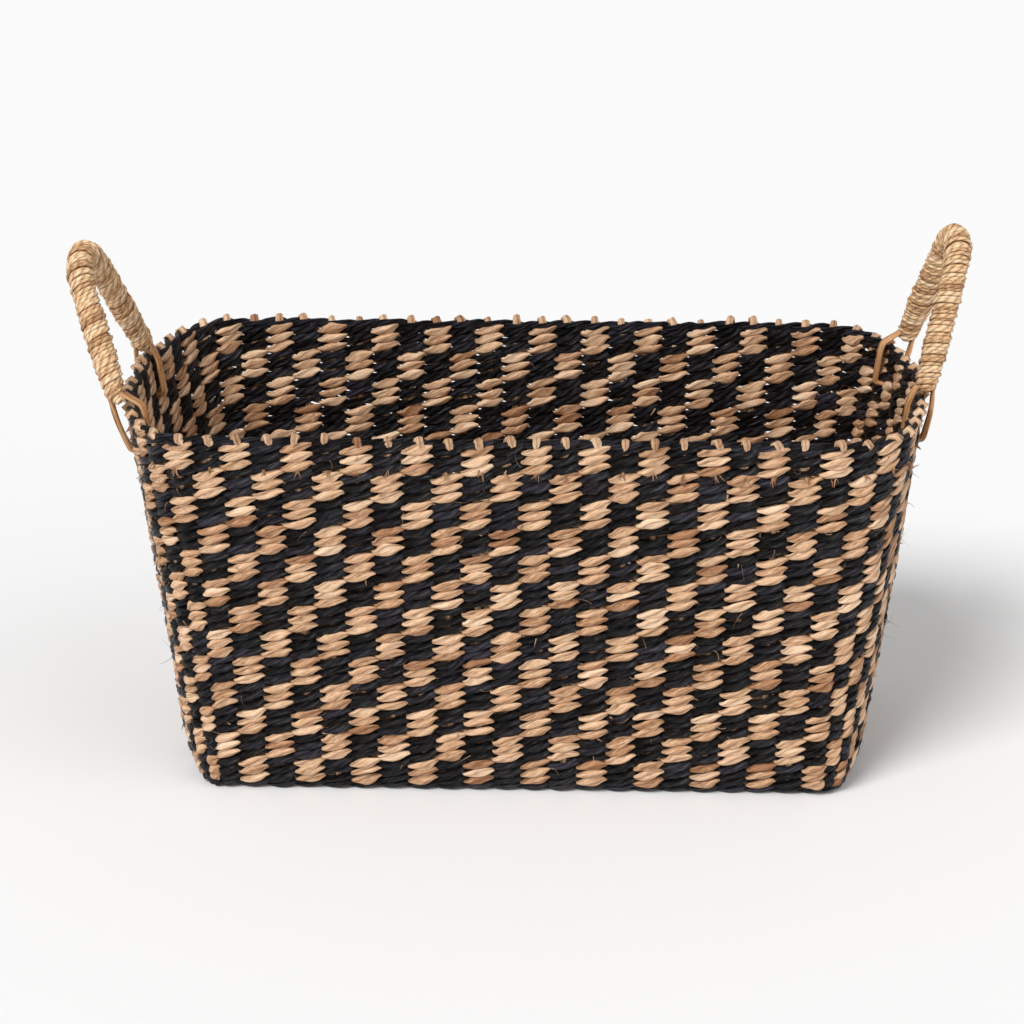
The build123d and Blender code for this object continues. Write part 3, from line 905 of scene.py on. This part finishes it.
def make_lashing(node_name, side, foot):
    """Canes laid close together, tied through the wall below one handle foot."""
    middle, along, out, reach = handle_frame(side)
    up_way = np.array([0, 0, math.cos(SLOPE_ANGLE)]) + out * math.sin(SLOPE_ANGLE)
    outward_way = out * math.cos(SLOPE_ANGLE) - np.array([0, 0, math.sin(SLOPE_ANGLE)])
    rng = np.random.default_rng(int(100 + 10 * side + foot))
    bundle = Bundle()
    origin = middle + along * foot * reach
    lean_out = FOOT_SHIFTS[1 if foot > 0 else 0]
    for cane in range(LASHING_CANES):
        shift = (cane - (LASHING_CANES - 1) / 2) * CANE_PITCH
        drop = (PIVOT_RISE + LASHING_DROP) / math.cos(SLOPE_ANGLE) + rng.normal(0, 0.0007)
        gap = LASHING_GAP + (LASHING_GAP_STEP if cane % 2 else 0.0)
        loop = lashing_loop((origin, outward_way, up_way), drop, gap, lean_out)
        turns = np.linspace(0, 4 * math.pi, CANE_POINTS, endpoint=False)
        sway = np.sin(turns + rng.uniform(0, 6))
        depth = np.clip(-((loop - origin) @ up_way) / drop, 0, 1)
        aside = shift * (1 - CANE_GATHER * depth) + 0.0008 * sway
        loop = loop + along * aside[:, None]
        side_way = np.broadcast_to(along, loop.shape)
        tone = np.clip(rng.normal(0.5, 0.25), 0, 1)
        thick = CANE_RADIUS * rng.uniform(0.85, 1.15)
        bundle.add(*tube(loop, side_way, thick, 0.85 * thick, tone, True,
                         sides=10, lobe=0.07, twist=120.0))
    piece = bundle.build(f"{node_name}_canes", CANE)
    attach(piece, "basket")
    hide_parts(node_name)


for handle_name, handle_side in (("right", 1), ("left", -1)):
    make_handle(handle_name, handle_side)
    for foot_name in ("front", "rear"):
        foot_sign = (1 if foot_name == "rear" else -1) * handle_side
        make_lashing(f"{handle_name}_{foot_name}_lashing", handle_side, foot_sign)


for course_index, course_node in enumerate(COURSES):
    weave_course(course_index, course_node)
border("rim_border_strands", HEIGHT - RIM_ROW_BELOW_TOP, "rim_border", RIM_STRAND_TALL)
border("foot_border_strands", FOOT_TOP / 2 + FOOT_ROW_LIFT, "foot_border", FOOT_STRAND_TALL)


# ---------------------------------------------------------------- camera, light and floor

CAMERA_AZIMUTH = math.radians(1.6)
CAMERA_ELEVATION = math.radians(20.8)
CAMERA_DISTANCE = 1.9
LENS = 97.0
SENSOR_WIDTH = 36
SKY_STRENGTH = 0.42
FLOOR_HALF = 40.0
FLOOR_GREY = 0.9
AIM = Vector((-0.0090, 0.0, HEIGHT / 2 + 0.034))

camera_data = bpy.data.cameras.new("camera")
camera_data.lens = LENS
camera_data.sensor_width = SENSOR_WIDTH
camera = bpy.data.objects.new("camera", camera_data)
bpy.context.scene.collection.objects.link(camera)
backward = Vector((
    math.sin(CAMERA_AZIMUTH) * math.cos(CAMERA_ELEVATION),
    -math.cos(CAMERA_AZIMUTH) * math.cos(CAMERA_ELEVATION),
    math.sin(CAMERA_ELEVATION),
))
camera.location = AIM + backward * CAMERA_DISTANCE
camera.rotation_euler = (-backward).to_track_quat("-Z", "Y").to_euler()
bpy.context.scene.camera = camera


def sun(name, heading, strength, spread):
    """Wide, soft light that comes from one side over the whole scene."""
    data = bpy.data.lights.new(name, "SUN")
    data.energy = strength
    data.angle = math.radians(spread)
    light = bpy.data.objects.new(name, data)
    light.rotation_euler = Vector(heading).to_track_quat("Z", "Y").to_euler()
    bpy.context.scene.collection.objects.link(light)


sun("key_light", (-0.45, -0.75, 1.0), 2.3, 24)
sun("fill_light", (0.9, -0.6, 0.8), 0.6, 60)

world = bpy.data.worlds.new("studio")
world.use_nodes = True
background = world.node_tree.nodes["Background"]
background.inputs["Color"].default_value = (1, 1, 1, 1)
background.inputs["Strength"].default_value = SKY_STRENGTH
bpy.context.scene.world = world

floor_mesh = bpy.data.meshes.new("floor")
floor_signs = [(-1, -1), (1, -1), (1, 1), (-1, 1)]
floor_corners = [(x * FLOOR_HALF, y * FLOOR_HALF, 0) for x, y in floor_signs]
floor_mesh.from_pydata(floor_corners, [], [(0, 1, 2, 3)])
floor = bpy.data.objects.new("floor", floor_mesh)
bpy.context.scene.collection.objects.link(floor)
floor_material = bpy.data.materials.new("studio_floor")
floor_material.use_nodes = True
floor_shader = floor_material.node_tree.nodes["Principled BSDF"]
floor_shader.inputs["Base Color"].default_value = (FLOOR_GREY, FLOOR_GREY, FLOOR_GREY, 1)
floor_shader.inputs["Roughness"].default_value = 0.9
floor_mesh.materials.append(floor_material)
bpy.context.scene.view_settings.view_transform = "Standard"
